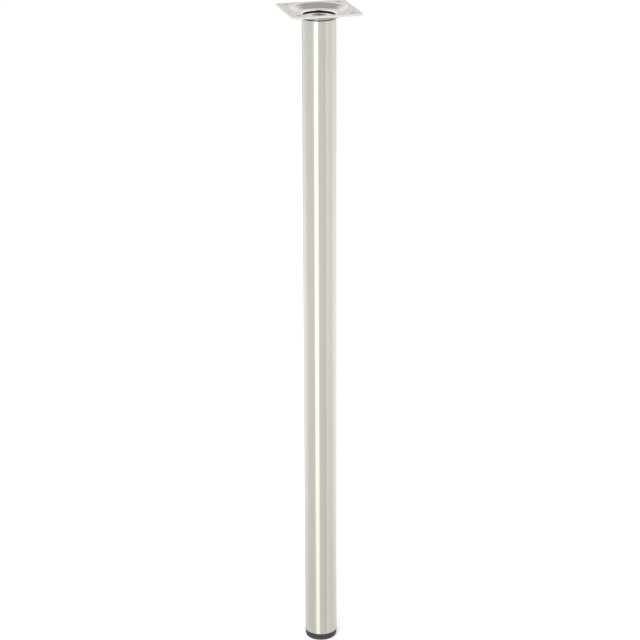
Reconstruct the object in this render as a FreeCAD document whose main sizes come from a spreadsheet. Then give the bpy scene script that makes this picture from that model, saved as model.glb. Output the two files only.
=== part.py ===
import FreeCAD
import Part
import math
import os
import Sketcher

# Height adjustable table leg: a round steel tube with a pressed screw-on plate bolted to its upper
# end and a screw-out levelling foot in its lower end. Millimetres. The origin lies on the floor
# under the middle of the foot, +Z runs up the tube, and X and Y run along the sides of the plate.

os.makedirs("parts", exist_ok=True)
doc = FreeCAD.newDocument("table_leg")

SIZES = {
    # whole leg, with the foot screwed right in
    "overall_height": 710,
    "foot_travel": 20,
    # tube
    "tube_diameter": 35,
    "tube_wall": 1.5,
    "tube_edge_radius": 0.8,
    # pressed plate, from the cup outwards
    "plate_thickness": 2,
    "cup_depth": 2,
    "cup_rim_radius": 1.6,
    "cup_floor_radius": 0.3,
    "cup_heel_radius": 1,
    "dish_floor_width": 5.5,
    "dish_slope_width": 7,
    "dish_depth": 4.8,
    "dish_bend_radius": 3,
    "plate_rim_width": 6.5,
    "plate_corner_radius": 4,
    "screw_hole_diameter": 5.2,
    "screw_hole_inset": 9,
    # bolt that holds the plate, and the threaded disc that takes it
    "bolt_diameter": 8,
    "bolt_length": 16,
    "bolt_tip_chamfer": 1,
    "bolt_head_diameter": 15.2,
    "bolt_head_edge": 0.3,
    "bolt_socket_width": 5,
    "bolt_socket_depth": 3,
    "top_disc_thickness": 8,
    "top_disc_clearance": 0.05,
    "top_disc_relief": 0.2,
    "thread_clearance": 0.05,
    # moulded plug in the lower end of the tube
    "plug_flange_height": 3,
    "plug_edge_radius": 0.4,
    "plug_length": 22,
    "plug_wall": 2,
    "plug_tip_radius": 1.2,
    "plug_boss_wall": 2,
    "plug_shoulder_height": 3,
    "plug_clearance": 0.05,
    "rib_height": 0.6,
    "rib_width": 1.6,
    "rib_count": 8,
    "web_thickness": 1.6,
    "web_count": 6,
    # nut caught in the plug
    "nut_wall": 2.5,
    "nut_height": 6.5,
    "nut_clearance": 0.05,
    # stud and moulded foot
    "stud_diameter": 8,
    "stud_tip_chamfer": 1,
    "stud_runout": 2,
    "stud_hole_clearance": 0.4,
    "stud_head_step": 2.5,
    "stud_head_height": 2,
    "foot_floor": 1.6,
    "foot_height": 4.4,
    "foot_inset": 0.2,
    "foot_gap": 0.3,
    "foot_edge_radius": 1.8,
    "foot_top_radius": 0.4,
    "foot_recess_diameter": 22,
    "foot_recess_depth": 0.6,
    "hub_wall": 3,
    "hub_height": 2.6,
    "hub_gap": 1,
    "hub_headroom": 0.6,
}

sheet = doc.addObject("Spreadsheet::Sheet", "sizes")
for row, (alias, value) in enumerate(SIZES.items(), start=1):
    sheet.set(f"A{row}", alias)
    sheet.set(f"B{row}", str(value))
    sheet.setAlias(f"B{row}", alias)
doc.recompute()


class Length:
    """A length as a number, with the sheet formula that gives it."""

    def __init__(self, number, formula):
        self.number = number
        self.formula = formula

    def __add__(self, other):
        return Length(self.number + other.number, f"({self.formula} + {other.formula})")

    def __sub__(self, other):
        return Length(self.number - other.number, f"({self.formula} - {other.formula})")

    def times(self, factor):
        return Length(self.number * factor, f"({self.formula} * {factor!r})")


def size(alias):
    """The sheet's size of that name."""
    return Length(float(getattr(sheet, alias)), f"sizes.{alias}")


def bend_shift(thickness, run, drop):
    """How far the bend lines of a sheet's two faces lie apart where it bends into a slope."""
    slope = math.hypot(run.number, drop.number)
    number = thickness.number * (slope - run.number) / drop.number
    slope_formula = f"sqrt({run.formula} ^ 2 + {drop.formula} ^ 2)"
    return Length(number, f"({thickness.formula} * ({slope_formula} - {run.formula}) / {drop.formula})")


ZERO = Length(0.0, "0")


def bind(thing, prop, length):
    """Tie a property to its sheet formula."""
    thing.setExpression(prop, length.formula)


def add_body(name, height):
    """An empty body whose own origin lies at that height on the leg's axis."""
    body = doc.addObject("PartDesign::Body", name)
    body.Label = name
    bind(body, "Placement.Base.z", height)
    return body


def origin_part(body, role):
    """The plane or axis of the body's origin that has that role."""
    return next(item for item in body.Origin.OriginFeatures if item.Role == role)


def add_sketch(body, name, role, height=ZERO):
    """An empty sketch on one of the body's origin planes, raised by a height."""
    sketch = body.newObject("Sketcher::SketchObject", name)
    sketch.AttachmentSupport = [(origin_part(body, role), "")]
    sketch.MapMode = "FlatFace"
    bind(sketch, "AttachmentOffset.Base.z", height)
    return sketch


def measure(sketch, kind, name, length, *where):
    """A named dimension in a sketch, tied to the sheet."""
    index = sketch.addConstraint(Sketcher.Constraint(kind, *where, length.number))
    sketch.renameConstraint(index, name)
    bind(sketch, f"Constraints.{name}", length)


def relate(sketch, kind, *where):
    """A geometric relation in a sketch."""
    sketch.addConstraint(Sketcher.Constraint(kind, *where))


def pin_point(sketch, name, where, across, up):
    """Hold a sketch point at its two coordinates, on the axis itself where one is zero."""
    if across is ZERO:
        relate(sketch, "PointOnObject", *where, -2)
    else:
        measure(sketch, "DistanceX", f"{name}_across", across, *where)
    if up is ZERO:
        relate(sketch, "PointOnObject", *where, -1)
    else:
        measure(sketch, "DistanceY", f"{name}_up", up, *where)


def corner_arc(here, back, ahead, radius):
    """The arc that rounds a corner, and whether it runs along with the outline."""
    half = back.getAngle(ahead) / 2
    middle = here + (back + ahead).normalize() * (radius / math.sin(half))
    reach = radius / math.tan(half)
    first = here + back * reach - middle
    last = here + ahead * reach - middle
    along = ahead.cross(back).z > 0
    start, end = (first, last) if along else (last, first)
    start_angle = math.atan2(start.y, start.x)
    end_angle = math.atan2(end.y, end.x)
    if end_angle < start_angle:
        end_angle += 2 * math.pi
    circle = Part.Circle(middle, FreeCAD.Vector(0, 0, 1), radius)
    return Part.ArcOfCircle(circle, start_angle, end_angle), along, reach


def add_outline(body, name, corners):
    """A closed section beside the leg's axis through corners given as distance from the axis,
    height and rounding (None where the corner is sharp)."""
    sketch = add_sketch(body, name, "XZ_Plane")
    count = len(corners)
    points = [FreeCAD.Vector(across.number, up.number, 0) for across, up, _ in corners]
    arcs = {}
    ends = {}
    for i, (_, _, rounding) in enumerate(corners):
        back = (points[i - 1] - points[i]).normalize()
        ahead = (points[(i + 1) % count] - points[i]).normalize()
        reach = 0.0
        if rounding is not None:
            arc, along, reach = corner_arc(points[i], back, ahead, rounding.number)
            arcs[i] = (arc, along)
        ends[i] = (points[i] + back * reach, points[i] + ahead * reach)
    for i in range(count):
        sketch.addGeometry(Part.LineSegment(ends[i][1], ends[(i + 1) % count][0]))
    for i, (across, up, rounding) in enumerate(corners):
        line_in = (i - 1) % count
        if rounding is None:
            relate(sketch, "Coincident", line_in, 2, i, 1)
            pin_point(sketch, f"corner{i}", (i, 1), across, up)
            continue
        arc, along = arcs[i]
        curve = sketch.addGeometry(arc)
        enter, leave = (1, 2) if along else (2, 1)
        relate(sketch, "Tangent", line_in, 2, curve, enter)
        relate(sketch, "Tangent", curve, leave, i, 1)
        measure(sketch, "Radius", f"rounding{i}", rounding, curve)
        apex = sketch.addGeometry(Part.Point(points[i]), True)
        relate(sketch, "PointOnObject", apex, 1, line_in)
        relate(sketch, "PointOnObject", apex, 1, i)
        pin_point(sketch, f"corner{i}", (apex, 1), across, up)
    return sketch


def turn(body, kind, name, corners):
    """Add or cut a full turn of a section round the leg's axis."""
    sketch = add_outline(body, f"{name}_section", corners)
    feature = body.newObject(kind, name)
    feature.Profile = sketch
    feature.ReferenceAxis = (sketch, ["V_Axis"])
    feature.Angle = 360
    doc.recompute()
    return feature


def add_hexagon(body, name, width, height):
    """A hexagon round the leg's axis with that width across its flats."""
    sketch = add_sketch(body, name, "XY_Plane", height)
    across_corners = width.times(2 / math.sqrt(3))
    radius = across_corners.number / 2
    angles = [math.radians(60 * k) for k in range(6)]
    points = [FreeCAD.Vector(radius * math.cos(a), radius * math.sin(a), 0) for a in angles]
    for k in range(6):
        sketch.addGeometry(Part.LineSegment(points[k], points[(k + 1) % 6]))
    ring = sketch.addGeometry(Part.Circle(FreeCAD.Vector(), FreeCAD.Vector(0, 0, 1), radius), True)
    relate(sketch, "Coincident", ring, 3, -1, 1)
    measure(sketch, "Diameter", "across_corners", across_corners, ring)
    for k in range(6):
        relate(sketch, "Coincident", k, 2, (k + 1) % 6, 1)
        relate(sketch, "PointOnObject", k, 1, ring)
    for k in range(1, 6):
        relate(sketch, "Equal", 0, k)
    relate(sketch, "PointOnObject", 0, 1, -1)
    return sketch


def add_bar(body, name, inner, outer, width, height):
    """A rectangle that reaches out along X, as wide on both sides of it."""
    sketch = add_sketch(body, name, "XY_Plane", height)
    half = width.number / 2
    near = inner.number
    far = outer.number
    points = [(near, -half), (far, -half), (far, half), (near, half)]
    points = [FreeCAD.Vector(x, y, 0) for x, y in points]
    for k in range(4):
        sketch.addGeometry(Part.LineSegment(points[k], points[(k + 1) % 4]))
    for k in range(4):
        relate(sketch, "Coincident", k, 2, (k + 1) % 4, 1)
    relate(sketch, "Horizontal", 0)
    relate(sketch, "Horizontal", 2)
    relate(sketch, "Vertical", 1)
    relate(sketch, "Symmetric", 0, 1, 3, 1, -1)
    measure(sketch, "DistanceX", "inner", inner, 0, 1)
    measure(sketch, "DistanceX", "outer", outer, 0, 2)
    measure(sketch, "DistanceY", "width", width, 1, 1, 1, 2)
    return sketch


def add_square(sketch, side):
    """A square round the origin of a sketch."""
    half = side.number / 2
    points = [(-half, -half), (half, -half), (half, half), (-half, half)]
    points = [FreeCAD.Vector(x, y, 0) for x, y in points]
    for k in range(4):
        sketch.addGeometry(Part.LineSegment(points[k], points[(k + 1) % 4]))
    for k in range(4):
        relate(sketch, "Coincident", k, 2, (k + 1) % 4, 1)
    relate(sketch, "Horizontal", 0)
    relate(sketch, "Horizontal", 2)
    relate(sketch, "Vertical", 1)
    relate(sketch, "Vertical", 3)
    relate(sketch, "Symmetric", 0, 1, 2, 1, -1, 1)
    measure(sketch, "DistanceX", "side_x", side, 0, 1, 0, 2)
    measure(sketch, "DistanceY", "side_y", side, 1, 1, 1, 2)


def add_circle(sketch, name, diameter, across=ZERO, up=ZERO):
    """A circle in a sketch."""
    middle = FreeCAD.Vector(across.number, up.number, 0)
    ring = sketch.addGeometry(Part.Circle(middle, FreeCAD.Vector(0, 0, 1), diameter.number / 2))
    pin_point(sketch, name, (ring, 3), across, up)
    measure(sketch, "Diameter", f"{name}_diameter", diameter, ring)


def pad(body, name, sketch, length):
    """Raise a sketch upwards by a length."""
    feature = body.newObject("PartDesign::Pad", name)
    feature.Profile = sketch
    bind(feature, "Length", length)
    doc.recompute()
    return feature


def pocket_up(body, name, sketch, length):
    """Cut a sketch upwards by a length."""
    feature = body.newObject("PartDesign::Pocket", name)
    feature.Profile = sketch
    feature.Reversed = True
    bind(feature, "Length", length)
    doc.recompute()
    return feature


def repeat_round(body, name, feature, count):
    """Repeat a feature evenly round the leg's axis."""
    pattern = body.newObject("PartDesign::PolarPattern", name)
    pattern.Originals = [feature]
    pattern.Axis = (origin_part(body, "Z_Axis"), [""])
    pattern.Angle = 360
    bind(pattern, "Occurrences", count)
    body.Tip = pattern
    doc.recompute()
    return pattern


def ease_hexagon(body, name, width, face, outwards):
    """Turn the corners of a hexagon down to a 30 degree cone at one end face."""
    flat = width.times(0.475)
    clear = width.times(0.62)
    drop = (clear - flat).times(math.tan(math.radians(30)))
    low = face - drop if outwards > 0 else face + drop
    return turn(body, "PartDesign::Groove", name, [(flat, face, None), (clear, face, None), (clear, low, None)])


# Shared radii and heights, measured from the floor
tube_radius = size("tube_diameter").times(0.5)
bore_radius = tube_radius - size("tube_wall")
bolt_radius = size("bolt_diameter").times(0.5)
bolt_head_radius = size("bolt_head_diameter").times(0.5)
stud_radius = size("stud_diameter").times(0.5)
hub_radius = stud_radius + size("hub_wall")
recess_radius = hub_radius + size("hub_gap")
nut_width = size("stud_diameter") + size("nut_wall").times(2)
plug_base = size("foot_height") + size("foot_gap")
tube_base = plug_base + size("plug_flange_height")
nut_base = size("foot_height") + size("hub_height") + size("hub_headroom")
nut_top = nut_base + size("nut_height")
press_depth = size("plate_thickness") + size("cup_depth") + size("dish_depth")
tube_top = size("overall_height") - press_depth

# Mounting plate: the pressed section is turned, then blanked to a square and pierced
plate = add_body("mounting_plate", tube_top)
sheet_thickness = size("plate_thickness")
cup_inside = tube_radius - sheet_thickness
dish_floor = tube_radius + size("dish_floor_width")
dish_mouth = dish_floor + size("dish_slope_width")
half_side = dish_mouth + size("plate_rim_width")
plate_side = half_side.times(2)
blank_radius = half_side.times(1.5)
inner_bend = size("dish_bend_radius")
outer_bend = inner_bend + sheet_thickness
shift = bend_shift(sheet_thickness, size("dish_slope_width"), size("dish_depth"))
floor_top = sheet_thickness + size("cup_depth")
seat_mouth = bolt_head_radius + size("bolt_head_edge")
seat_end = seat_mouth - sheet_thickness
turn(plate, "PartDesign::Revolution", "pressing", [
    (blank_radius, press_depth, None),
    (dish_mouth, press_depth, outer_bend),
    (dish_floor, floor_top, inner_bend),
    (cup_inside, floor_top, size("cup_rim_radius")),
    (cup_inside, sheet_thickness, size("cup_floor_radius")),
    (seat_mouth, sheet_thickness, None),
    (seat_end, ZERO, None),
    (tube_radius, ZERO, size("cup_heel_radius")),
    (tube_radius, size("cup_depth"), None),
    (dish_floor + shift, size("cup_depth"), outer_bend),
    (dish_mouth + shift, press_depth - sheet_thickness, inner_bend),
    (blank_radius, press_depth - sheet_thickness, None),
])
blank = add_sketch(plate, "blank_outline", "XY_Plane")
add_square(blank, plate_side)
add_circle(blank, "waste", blank_radius.times(2.2))
blanking = pocket_up(plate, "blanking", blank, press_depth)
corners = [
    f"Edge{i}"
    for i, edge in enumerate(blanking.Shape.Edges, start=1)
    if isinstance(edge.Curve, Part.Line) and abs(edge.Curve.Direction.z) > 0.99
]
rounding = plate.newObject("PartDesign::Fillet", "corner_rounding")
rounding.Base = (blanking, corners)
bind(rounding, "Radius", size("plate_corner_radius"))
doc.recompute()
hole_offset = half_side - size("screw_hole_inset")
pierced = add_sketch(plate, "screw_hole_outline", "XY_Plane")
add_circle(pierced, "screw_hole", size("screw_hole_diameter"), hole_offset, hole_offset)
hole = pocket_up(plate, "screw_hole", pierced, press_depth)
repeat_round(plate, "screw_holes", hole, Length(4, "4"))

# Countersunk bolt of the plate, flush with the floor of the cup
bolt_length = size("bolt_length")
bolt = add_body("plate_bolt", tube_top + sheet_thickness - bolt_length)
chamfer = size("bolt_tip_chamfer")
cone_top = bolt_length - size("bolt_head_edge")
cone_base = cone_top - (bolt_head_radius - bolt_radius)
turn(bolt, "PartDesign::Revolution", "bolt", [
    (ZERO, ZERO, None),
    (bolt_radius - chamfer, ZERO, None),
    (bolt_radius, chamfer, None),
    (bolt_radius, cone_base, None),
    (bolt_head_radius, cone_top, None),
    (bolt_head_radius, bolt_length, None),
    (ZERO, bolt_length, None),
])
socket_base = bolt_length - size("bolt_socket_depth")
socket = add_hexagon(bolt, "socket_outline", size("bolt_socket_width"), socket_base)
pocket_up(bolt, "socket", socket, size("bolt_socket_depth"))

# Threaded disc, flush with the tube's upper end, with room for the cone of the bolt's head
disc_height = size("top_disc_thickness")
disc = add_body("top_disc", tube_top - disc_height)
disc_radius = bore_radius - size("top_disc_clearance")
disc_bore = bolt_radius + size("thread_clearance")
disc_mouth = seat_end + size("top_disc_relief")
turn(disc, "PartDesign::Revolution", "disc", [
    (disc_bore, ZERO, None),
    (disc_radius, ZERO, None),
    (disc_radius, disc_height, None),
    (disc_mouth, disc_height, None),
    (disc_bore, disc_height - (disc_mouth - disc_bore), None),
])

# Tube
tube = add_body("leg_tube", tube_base)
tube_length = tube_top - tube_base
turn(tube, "PartDesign::Revolution", "tube", [
    (bore_radius, ZERO, None),
    (tube_radius, ZERO, None),
    (tube_radius, tube_length, size("tube_edge_radius")),
    (bore_radius, tube_length, None),
])

# Plug in the lower end of the tube: flange, shank and boss in one section, then the nut pocket,
# the ribs that grip the tube and the webs that stiffen the boss
plug = add_body("end_plug", plug_base)
flange = size("plug_flange_height")
rib_radius = bore_radius - size("plug_clearance")
shank_radius = rib_radius - size("rib_height")
shank_inside = shank_radius - size("plug_wall")
shank_top = flange + size("plug_length")
boss_radius = recess_radius + size("plug_boss_wall")
pocket_base = nut_base - plug_base
boss_top = pocket_base + size("nut_height") + size("plug_shoulder_height")
stud_hole = stud_radius + size("stud_hole_clearance")
turn(plug, "PartDesign::Revolution", "plug", [
    (recess_radius, ZERO, None),
    (tube_radius, ZERO, size("plug_edge_radius")),
    (tube_radius, flange, None),
    (shank_radius, flange, None),
    (shank_radius, shank_top, size("plug_tip_radius")),
    (shank_inside, shank_top, None),
    (shank_inside, flange, None),
    (boss_radius, flange, None),
    (boss_radius, boss_top, None),
    (stud_hole, boss_top, None),
    (stud_hole, pocket_base, None),
    (recess_radius, pocket_base, None),
])
pocket_width = nut_width + size("nut_clearance").times(2)
seat = add_hexagon(plug, "nut_pocket_outline", pocket_width, pocket_base)
pocket_up(plug, "nut_pocket", seat, size("nut_height"))
root = size("plug_wall").times(0.5)
rib_top = size("plug_length") - size("plug_tip_radius").times(2)
rib_outline = add_bar(plug, "rib_outline", shank_radius - root, rib_radius, size("rib_width"), flange)
rib = pad(plug, "rib", rib_outline, rib_top)
repeat_round(plug, "ribs", rib, size("rib_count"))
web_inner = boss_radius - size("plug_boss_wall").times(0.5)
web_outline = add_bar(plug, "web_outline", web_inner, shank_inside + root, size("web_thickness"), flange)
web = pad(plug, "web", web_outline, boss_top - flange)
repeat_round(plug, "webs", web, size("web_count"))

# Nut caught in the plug
nut = add_body("plug_nut", nut_base)
nut_outline = add_hexagon(nut, "nut_outline", nut_width, ZERO)
pad(nut, "nut_blank", nut_outline, size("nut_height"))
nut_bore = add_sketch(nut, "nut_bore_outline", "XY_Plane")
add_circle(nut_bore, "nut_bore", (stud_radius + size("thread_clearance")).times(2))
pocket_up(nut, "nut_bore", nut_bore, size("nut_height"))
ease_hexagon(nut, "nut_top_chamfer", nut_width, size("nut_height"), 1)
ease_hexagon(nut, "nut_base_chamfer", nut_width, ZERO, -1)

# Stud, head down in the foot
stud = add_body("foot_stud", size("foot_floor"))
stud_length = nut_top + size("foot_travel") + size("stud_runout") - size("foot_floor")
head_radius = stud_radius + size("stud_head_step")
head_height = size("stud_head_height")
tip = size("stud_tip_chamfer")
turn(stud, "PartDesign::Revolution", "stud", [
    (ZERO, ZERO, None),
    (head_radius, ZERO, None),
    (head_radius, head_height, None),
    (stud_radius, head_height, None),
    (stud_radius, stud_length - tip, None),
    (stud_radius - tip, stud_length, None),
    (ZERO, stud_length, None),
])

# Moulded foot with its hub round the stud's head
foot = add_body("foot_disc", ZERO)
play = size("thread_clearance")
foot_radius = tube_radius - size("foot_inset")
foot_recess = size("foot_recess_diameter").times(0.5)
foot_top = size("foot_height")
hub_top = foot_top + size("hub_height")
socket_floor = size("foot_floor") - play
socket_roof = size("foot_floor") + head_height + play
turn(foot, "PartDesign::Revolution", "foot", [
    (ZERO, size("foot_recess_depth"), None),
    (foot_recess, size("foot_recess_depth"), None),
    (foot_recess, ZERO, None),
    (foot_radius, ZERO, size("foot_edge_radius")),
    (foot_radius, foot_top, size("foot_top_radius")),
    (hub_radius, foot_top, None),
    (hub_radius, hub_top, None),
    (stud_radius + play, hub_top, None),
    (stud_radius + play, socket_roof, None),
    (head_radius + play, socket_roof, None),
    (head_radius + play, socket_floor, None),
    (ZERO, socket_floor, None),
])

doc.recompute()
for item in doc.Objects:
    if "Invalid" in item.State or "Error" in item.State:
        raise RuntimeError(f"{item.Label} could not be built: {item.State}")
for body in (plate, bolt, disc, tube, plug, nut, stud, foot):
    if body.Shape.isNull() or not body.Shape.isValid() or len(body.Shape.Solids) != 1:
        raise RuntimeError(f"{body.Label} is not one sound solid")
    body.Shape.exportStep(f"parts/{body.Label}.step")
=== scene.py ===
import math

import bmesh
import bpy
import numpy as np
from bpy.props import FloatProperty, FloatVectorProperty, PointerProperty
from bpy.types import NodeSocket, Operator, Panel, PropertyGroup
from mathutils import Matrix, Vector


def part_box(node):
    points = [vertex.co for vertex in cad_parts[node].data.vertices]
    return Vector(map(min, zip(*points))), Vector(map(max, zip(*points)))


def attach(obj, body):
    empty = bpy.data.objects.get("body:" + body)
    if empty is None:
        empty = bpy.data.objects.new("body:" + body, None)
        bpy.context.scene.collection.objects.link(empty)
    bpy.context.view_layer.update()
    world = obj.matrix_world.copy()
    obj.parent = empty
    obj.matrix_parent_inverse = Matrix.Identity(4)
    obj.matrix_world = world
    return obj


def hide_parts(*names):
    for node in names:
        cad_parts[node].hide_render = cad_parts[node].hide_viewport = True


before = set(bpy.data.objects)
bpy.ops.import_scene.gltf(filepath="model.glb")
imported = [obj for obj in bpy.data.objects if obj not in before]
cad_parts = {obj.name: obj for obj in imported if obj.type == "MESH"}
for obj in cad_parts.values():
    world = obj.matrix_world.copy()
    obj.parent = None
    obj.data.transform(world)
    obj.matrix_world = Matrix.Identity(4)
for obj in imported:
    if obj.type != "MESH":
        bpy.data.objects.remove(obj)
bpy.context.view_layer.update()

bl_info = {
    "name": "Height adjustable table leg",
    "version": (1, 0, 0),
    "blender": (4, 5, 0),
    "location": "View3D > Sidebar > Table leg",
    "description": "Builds a round steel table leg with a pressed screw-on plate and a levelling foot",
    "category": "Add Mesh",
}

BOXES = {name: np.array(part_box(name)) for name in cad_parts}

# Points round the leg's axis: in general, on the foot and on the tube
ROUND, FOOT_ROUND, TUBE_ROUND = 96, 128, 160
ANGLES = np.arange(ROUND) * (2 * np.pi / ROUND)
STEP = 360 / ROUND

# Distances in metres within which points count as one, along a section and in a mesh
SAME_POINT, WELD = 1e-7, 1e-6

# Angles in degrees from which an edge is drawn sharp, in general and on threaded pieces
CREASE, THREAD_CREASE = 35.0, 28.0

# Plate: width of flat rim turned with the dish, half the angle of the rim's straight pieces, and points
# along a side and round a corner of its pierced pieces
TURNED_RIM, SIDE_ANGLE, SIDE_POINTS, CORNER_POINTS = 0.0018, 15.0, 8, 9

# Threads: rows of points to a turn, parts of half a turn in the crest and a flank, length of the run-out
THREAD_STEPS, CREST, FLANK, RUN_OUT = 12, 0.125, 0.625, 0.0004

# Nut: radius of the flat face as a part of the width, slope of its chamfer, widening of the bore's mouths
NUT_FACE, NUT_SLOPE, NUT_MOUTH = 0.475, math.tan(math.radians(30)), 0.0003

# Mouldings: counts of the plug's ribs and webs; radii on small edges, the foot's recess and its hole
RIBS, WEBS = 8, 6
SMALL_EDGE, RECESS_EDGE, HOLE_EDGE = 0.0003, 0.00025, 0.00015

# Bands over which a finish changes from none to full, in metres where no other unit is given
# Painted shade on the tube's upper edge under the plate, over this band
EDGE_SHADE_BAND = (-1.0, -0.6)          # from the tube's top, in radii of its upper edge
# Painted highlight on the plate's cut edges, over these bands; their extra roughness is real
CUT_FACES = (0.49, 0.40)         # from the middle of the sheet, in thicknesses
CUT_SIDES = (-0.0014, -0.0012)   # from the plate's sides
CUT_ROUGH = 0.4                  # roughness of the cut edges
# Painted shade on the cup's inner wall and on its heel above the tube, over these bands
WALL_SIDES = (0.00036, 0.00022)  # to either side of the cup's inner face
WALL_FLOOR = (-0.0002, 0.0)      # from the cup's floor
HEEL_RISE = (0.6, 0.2)           # from the cup's underside, in radii of its heel
HEEL_SIDE = (-0.001, -0.0005)    # from the cup's inner face
HEEL_SHADE_MOST = 0.9                  # strongest tone of the heel
# Painted highlight on the cup's rim and floor, inward of this band
RIM_HIGHLIGHT_BAND = (0.0008, 0.0004)     # from the outside of the cup's rim

# The studio that steel mirrors, as stops of a place and a level. Below the horizon, a level by degrees to
# the right of the camera times one by degrees of rise: pale bands all round, strips at the leg's sides,
# and the window left of the camera
BANDS = ((-180, 0.82), (-150, 0.90), (-100, 0.99), (26, 0.98), (31, 0.88), (40, 0.88), (47, 1.16),
         (70, 1.06), (100, 1.02), (150, 0.90), (180, 0.82))
BANDS_RISE = ((-90, 0.70), (-30, 0.74), (-22, 1.02), (-12, 0.86), (-5, 0.84))
STRIPS = ((-165, 0.0), (-130, 0.36), (-100, 0.10), (-85, 0.0), (85, 0.0), (100, 0.14), (130, 0.36),
          (165, 0.0))
STRIPS_RISE = ((-30, 0.0), (-28, 1.0), (-18, 1.0), (-12, 0.4))
WINDOW = ((-40, 0.0), (-30, 0.97), (-12, 0.97), (-4, 0.0))
WINDOW_RISE = ((-30, 0.4), (-27, 0.7), (-22, 1.0), (-16, 1.12))

# Above the horizon, the backdrop by how far a ray points to the camera, from -1 to 1, and beyond the
# boxes' edge the boxes, which lean away from the camera and grow from a low to a full level
BACKDROP = ((-1.0, 0.84), (-0.95, 0.84), (-0.85, 1.2), (-0.74, 1.0), (-0.56, 0.5), (0.0, 0.55),
            (0.15, 0.35), (0.5, 0.12), (1.0, 0.1))
BOX_EDGE, BOX_LEAN = (0.30, 0.38), 0.3
BOX_LOW, BOX_FULL_RISE = (18, 0.84), 30
HORIZON = ((1, 0.0), (4, 1.0))
TOP_LEVEL = 2.0

# Lamp and camera
KEY_PLACE, KEY_AIM, KEY_SIZE = (-1.4, -1.3, 2.3), (0.0, 0.0, 0.3), 1.6
SENSOR_WIDTH, VIEW_END = 36.0, 60.0
FLOOR_RINGS = 8


def length(name, description, default):
    """A length in metres that a user may change."""
    return FloatProperty(name=name, description=description, default=default, min=0.0, precision=5,
                         subtype="DISTANCE", unit="LENGTH")


def tint(name, description, default):
    """A linear colour that a user may change."""
    return FloatVectorProperty(name=name, description=description, default=default, size=3, min=0.0,
                               max=1.0, subtype="COLOR")


def number(name, description, default, most):
    """A plain number from 0 to a most that a user may change."""
    return FloatProperty(name=name, description=description, default=default, min=0.0, max=most)


def turn_of(name, description, default):
    """An angle, given in degrees, that a user may change."""
    return FloatProperty(name=name, description=description, default=math.radians(default),
                         subtype="ANGLE", unit="ROTATION")


class TubeSizes(PropertyGroup):
    """Sizes of the tube"""
    wall: length("Wall", "Thickness of the tube's wall", 0.0015)
    upper_edge: length("Upper edge", "Radius on the tube's upper outer edge", 0.0008)
    lower_edge: length("Lower edge", "Radius left by deburring the tube's lower edge", 0.00015)


class PlateSizes(PropertyGroup):
    """Sizes of the pressed plate"""
    sheet: length("Sheet", "Thickness of the pressed sheet", 0.002)
    cup_depth: length("Cup depth", "Depth of the cup below the dish's floor", 0.002)
    cup_rim: length("Cup rim", "Radius where the dish's floor turns down into the cup", 0.0016)
    cup_wall: length("Cup wall", "Thickness to which the cup's wall is drawn", 0.0011)
    cup_floor: length("Cup floor", "Radius between the cup's wall and its floor", 0.0003)
    cup_heel: length("Cup heel", "Radius under the cup, on its outer lower edge", 0.001)
    dish_floor: length("Dish floor", "Radius at which the dish's floor turns up", 0.023)
    dish_mouth: length("Dish mouth", "Radius at which the dish's slope meets the flat rim", 0.032)
    dish_depth: length("Dish depth", "Depth of the dish below the flat rim", 0.0048)
    dish_bend: length("Dish bend", "Inner radius of the two bends of the dish", 0.003)
    corner: length("Corner", "Radius of the plate's four corners", 0.004)
    screw_hole: length("Screw hole", "Diameter of the four screw holes", 0.0052)
    screw_inset: length("Screw inset", "Distance of the screw holes from the plate's sides", 0.009)
    burr: length("Burr", "Width of the eased edge of the blanked sheet", 0.00018)


class FastenerSizes(PropertyGroup):
    """Sizes of the bolt, the nut and the stud"""
    thread: length("Thread", "Outer diameter of the bolt's and the stud's thread", 0.008)
    pitch: length("Pitch", "Distance from one turn of the thread to the next", 0.00125)
    depth: length("Thread depth", "Depth of the thread's groove", 0.00072)
    play: length("Play", "Radial play between the stud and the nut", 0.00006)
    width: length("Width", "Width across the flats of the nut", 0.013)
    tip: length("Tip", "Chamfer at the ends of the bolt and the stud", 0.001)
    bolt_head: length("Bolt head", "Diameter of the bolt's countersunk head", 0.0152)
    bolt_edge: length("Bolt edge", "Height of the upright edge of the bolt's head", 0.0003)
    socket: length("Socket", "Width across the flats of the bolt's socket", 0.005)
    socket_depth: length("Socket depth", "Depth of the bolt's socket", 0.003)
    socket_edge: length("Socket edge", "Chamfer at the mouth of the bolt's socket", 0.0002)
    stud_head: length("Stud head", "Diameter of the stud's head inside the foot", 0.013)
    stud_head_height: length("Stud head height", "Height of the stud's head inside the foot", 0.002)


class PlugSizes(PropertyGroup):
    """Sizes of the tube's plug"""
    flange: length("Flange", "Height of the flange below the tube", 0.003)
    edge: length("Edge", "Radius on the flange's lower edge", 0.0004)
    shank: length("Shank", "Outer radius of the shank between its ribs", 0.01535)
    wall: length("Wall", "Thickness of the shank's wall", 0.002)
    tip: length("Tip", "Radius on the shank's upper edge", 0.0012)
    boss: length("Boss", "Outer radius of the boss round the nut", 0.010)
    shoulder: length("Shoulder", "Thickness of the boss above the nut", 0.003)
    recess: length("Recess", "Radius of the round recess below the nut", 0.008)
    stud_hole: length("Stud hole", "Radius of the hole through which the stud passes", 0.0044)
    pocket_play: length("Pocket play", "Play between the nut and its pocket", 0.00005)
    rib_reach: length("Rib reach", "Radius to which the ribs reach", 0.01595)
    rib_width: length("Rib width", "Width of the ribs and thickness of the webs", 0.0016)


class FootSizes(PropertyGroup):
    """Sizes of the foot"""
    height: length("Height", "Height of the foot's disc", 0.0044)
    edge: length("Edge", "Radius on the foot's lower edge", 0.0018)
    shoulder: length("Shoulder", "Radius on the foot's upper edge", 0.0004)
    recess: length("Recess", "Radius of the shallow recess in the underside", 0.011)
    recess_depth: length("Recess depth", "Depth of the recess in the underside", 0.0006)
    hub: length("Hub", "Outer radius of the hub round the stud", 0.007)
    play: length("Play", "Play left round the stud in the foot", 0.00005)


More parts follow.
